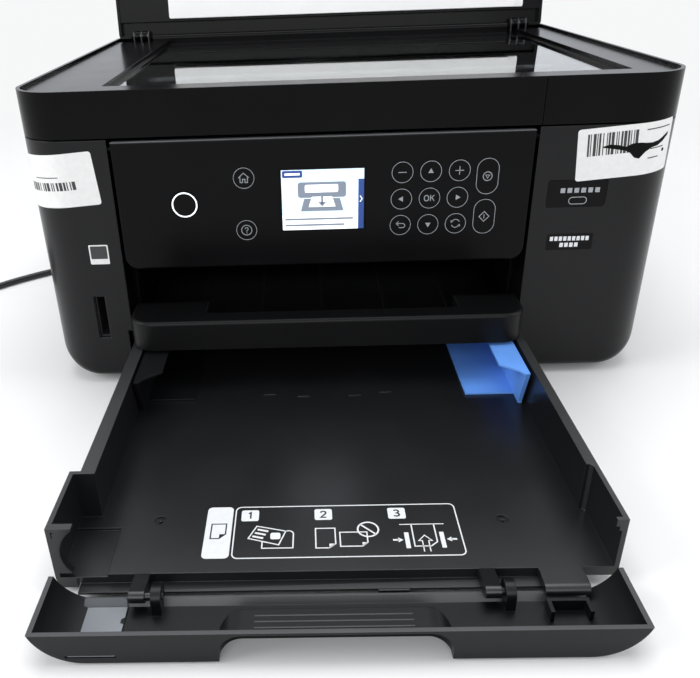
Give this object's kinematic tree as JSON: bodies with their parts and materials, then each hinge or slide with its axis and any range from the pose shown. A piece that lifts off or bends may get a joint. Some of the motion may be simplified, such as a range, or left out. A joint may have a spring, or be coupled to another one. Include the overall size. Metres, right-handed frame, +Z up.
{
  "type": "multifunction inkjet printer",
  "caption": "Compact inkjet printer with flatbed scanner, open document lid, tilting control panel, output tray and a pulled-out front paper cassette with a folding flap.",
  "frame": {"origin": "bottom centre of the printer as it stands with the cassette pulled out and the lid open, on the surface it stands on", "axes": "+X to the right seen from the front, +Y towards the rear, +Z up"},
  "size_m": [0.5765, 0.6259, 0.4661],
  "materials": {
    "casing_black": "fine textured satin moulding",
    "shroud_black": "dark matt moulding",
    "gloss_black": "piano gloss",
    "key_black": "gloss cap with a thin grey outline and a plain symbol",
    "tray_grey": "satin, light wear on the edges",
    "cassette_black": "satin moulding",
    "guide_dark": "satin moulding",
    "guide_blue": "satin moulding",
    "hinge_plastic": "satin moulding",
    "pad_white": "smooth white film on foam",
    "mechanism_plastic": "plain moulding",
    "tank_plastic": "plain moulding",
    "supply_plastic": "plain moulding",
    "board_green": "circuit board lacquer",
    "plate_steel": "zinc plated sheet",
    "motor_steel": "plated can",
    "rod_steel": "ground rod",
    "roller_rubber": "ground rubber",
    "foot_rubber": "moulded rubber",
    "belt_rubber": "moulded rubber",
    "scanner_glass": "clear float glass",
    "screen": "glossy colour display, lit",
    "cord_black": "smooth cable sheath"
  },
  "bodies": {
    "printer_body": {"bottom_case": "casing_black", "left_side_cover": "casing_black", "right_side_cover": "casing_black", "rear_cover": "casing_black", "front_opening_frame": "shroud_black", "rubber_feet": "foot_rubber", "mechanism_frame": "plate_steel", "carriage_rail": "plate_steel", "carriage_motor": "motor_steel", "feed_motor": "motor_steel", "timing_belts": "belt_rubber", "platen": "mechanism_plastic", "cap_station": "mechanism_plastic", "waste_ink_box": "tank_plastic", "power_supply": "supply_plastic", "main_board": "board_green", "ac_inlet": "supply_plastic", "card_slot": "mechanism_plastic", "power_connector": "cord_black", "power_cord": "cord_black", "cord_coil": "cord_black", "power_plug": "cord_black"},
    "duplex": {"duplex_unit": "casing_black"},
    "scanner_unit": {"scanner_case": "casing_black", "scanner_top_frame": "gloss_black", "scanner_glass": "scanner_glass", "scan_guide_rod": "rod_steel", "lid_hinges": "hinge_plastic"},
    "scan_carriage": {"scan_head": "mechanism_plastic"},
    "document_lid": {"lid_cover": "casing_black", "lid_pad": "pad_white"},
    "control_panel": {"control_panel_case": "casing_black", "control_panel_fascia": "gloss_black", "panel_board": "board_green", "lcd_screen": "screen"},
    "output_tray": {"output_tray": "tray_grey"},
    "paper_cassette": {"cassette_tray": "cassette_black"},
    "left_guide": {"left_edge_guide": "guide_dark"},
    "right_guide": {"right_edge_guide": "guide_blue"},
    "cassette_flap": {"cassette_flap": "tray_grey"},
    "ink_carriage": {"print_carriage": "mechanism_plastic", "ink_cartridges": "tank_plastic"},
    "feed_roller": {"feed_roller": "roller_rubber"},
    "output_roller": {"output_roller": "roller_rubber"},
    "pickup_arm": {"pickup_arm": "mechanism_plastic"},
    "pickup_roller": {"pickup_roller": "roller_rubber"},
    "key_power": {"key_power": "key_black"},
    "key_home": {"key_home": "key_black"},
    "key_help": {"key_help": "key_black"},
    "key_minus": {"key_minus": "key_black"},
    "key_up": {"key_up": "key_black"},
    "key_plus": {"key_plus": "key_black"},
    "key_left": {"key_left": "key_black"},
    "key_ok": {"key_ok": "key_black"},
    "key_right": {"key_right": "key_black"},
    "key_back": {"key_back": "key_black"},
    "key_down": {"key_down": "key_black"},
    "key_copy": {"key_copy": "key_black"},
    "key_stop": {"key_stop": "key_black"},
    "key_start": {"key_start": "key_black"}
  },
  "joints": [
    {"name": "duplex_slide", "type": "slide", "parent": "printer_body", "child": "duplex", "axis": [0, 1, 0], "range_m": [0, 0.09]},
    {"name": "scanner_lift", "type": "hinge", "parent": "printer_body", "child": "scanner_unit", "pos_m": [0, 0.2362, 0.16], "axis": [-1, 0, 0], "range_deg": [0, 30]},
    {"name": "lid_hinge", "type": "hinge", "parent": "scanner_unit", "child": "document_lid", "pos_m": [0, 0.2327, 0.1831], "axis": [1, 0, 0], "range_deg": [0, 97]},
    {"name": "scan_slide", "type": "slide", "parent": "scanner_unit", "child": "scan_carriage", "axis": [1, 0, 0], "range_m": [0, 0.31]},
    {"name": "panel_tilt", "type": "hinge", "parent": "printer_body", "child": "control_panel", "pos_m": [0, -0.0521, 0.1493], "axis": [-1, 0, 0], "range_deg": [0, 45]},
    {"name": "output_tray_slide", "type": "slide", "parent": "printer_body", "child": "output_tray", "axis": [0, -1, 0], "range_m": [0, 0.11]},
    {"name": "cassette_slide", "type": "slide", "parent": "printer_body", "child": "paper_cassette", "axis": [0, 1, 0], "range_m": [0, 0.1685]},
    {"name": "left_guide_slide", "type": "slide", "parent": "paper_cassette", "child": "left_guide", "axis": [1, 0, 0], "range_m": [0, 0.055]},
    {"name": "right_guide_slide", "type": "slide", "parent": "paper_cassette", "child": "right_guide", "axis": [1, 0, 0], "range_m": [-0.055, 0]},
    {"name": "flap_hinge", "type": "hinge", "parent": "paper_cassette", "child": "cassette_flap", "pos_m": [0, -0.2478, 0.0085], "axis": [-1, 0, 0], "range_deg": [0, 90]},
    {"name": "carriage_slide", "type": "slide", "parent": "printer_body", "child": "ink_carriage", "axis": [-1, 0, 0], "range_m": [0, 0.205]},
    {"name": "feed_spin", "type": "hinge", "parent": "printer_body", "child": "feed_roller", "pos_m": [0, 0.1477, 0.066], "axis": [1, 0, 0], "continuous": true},
    {"name": "output_spin", "type": "hinge", "parent": "printer_body", "child": "output_roller", "pos_m": [0, 0.0607, 0.066], "axis": [1, 0, 0], "continuous": true},
    {"name": "pickup_swing", "type": "hinge", "parent": "printer_body", "child": "pickup_arm", "pos_m": [0, 0.1327, 0.046], "axis": [-1, 0, 0], "range_deg": [0, 11]},
    {"name": "pickup_spin", "type": "hinge", "parent": "pickup_arm", "child": "pickup_roller", "pos_m": [0, 0.1827, 0.05], "axis": [1, 0, 0], "continuous": true},
    {"name": "press_power", "type": "slide", "parent": "control_panel", "child": "key_power", "axis": [0, 1, 0], "range_m": [0, 0.0008], "stiffness_N_per_m": 1500},
    {"name": "press_home", "type": "slide", "parent": "control_panel", "child": "key_home", "axis": [0, 1, 0], "range_m": [0, 0.0008], "stiffness_N_per_m": 1500},
    {"name": "press_help", "type": "slide", "parent": "control_panel", "child": "key_help", "axis": [0, 1, 0], "range_m": [0, 0.0008], "stiffness_N_per_m": 1500},
    {"name": "press_minus", "type": "slide", "parent": "control_panel", "child": "key_minus", "axis": [0, 1, 0], "range_m": [0, 0.0008], "stiffness_N_per_m": 1500},
    {"name": "press_up", "type": "slide", "parent": "control_panel", "child": "key_up", "axis": [0, 1, 0], "range_m": [0, 0.0008], "stiffness_N_per_m": 1500},
    {"name": "press_plus", "type": "slide", "parent": "control_panel", "child": "key_plus", "axis": [0, 1, 0], "range_m": [0, 0.0008], "stiffness_N_per_m": 1500},
    {"name": "press_left", "type": "slide", "parent": "control_panel", "child": "key_left", "axis": [0, 1, 0], "range_m": [0, 0.0008], "stiffness_N_per_m": 1500},
    {"name": "press_ok", "type": "slide", "parent": "control_panel", "child": "key_ok", "axis": [0, 1, 0], "range_m": [0, 0.0008], "stiffness_N_per_m": 1500},
    {"name": "press_right", "type": "slide", "parent": "control_panel", "child": "key_right", "axis": [0, 1, 0], "range_m": [0, 0.0008], "stiffness_N_per_m": 1500},
    {"name": "press_back", "type": "slide", "parent": "control_panel", "child": "key_back", "axis": [0, 1, 0], "range_m": [0, 0.0008], "stiffness_N_per_m": 1500},
    {"name": "press_down", "type": "slide", "parent": "control_panel", "child": "key_down", "axis": [0, 1, 0], "range_m": [0, 0.0008], "stiffness_N_per_m": 1500},
    {"name": "press_copy", "type": "slide", "parent": "control_panel", "child": "key_copy", "axis": [0, 1, 0], "range_m": [0, 0.0008], "stiffness_N_per_m": 1500},
    {"name": "press_stop", "type": "slide", "parent": "control_panel", "child": "key_stop", "axis": [0, 1, 0], "range_m": [0, 0.0008], "stiffness_N_per_m": 1500},
    {"name": "press_start", "type": "slide", "parent": "control_panel", "child": "key_start", "axis": [0, 1, 0], "range_m": [0, 0.0008], "stiffness_N_per_m": 1500}
  ],
  "couplings": [
    {"joint": "right_guide_slide", "follows": "left_guide_slide", "ratio": -1},
    {"joint": "output_spin", "follows": "feed_spin", "ratio": 1.2308},
    {"joint": "pickup_spin", "follows": "feed_spin", "ratio": 0.8}
  ]
}
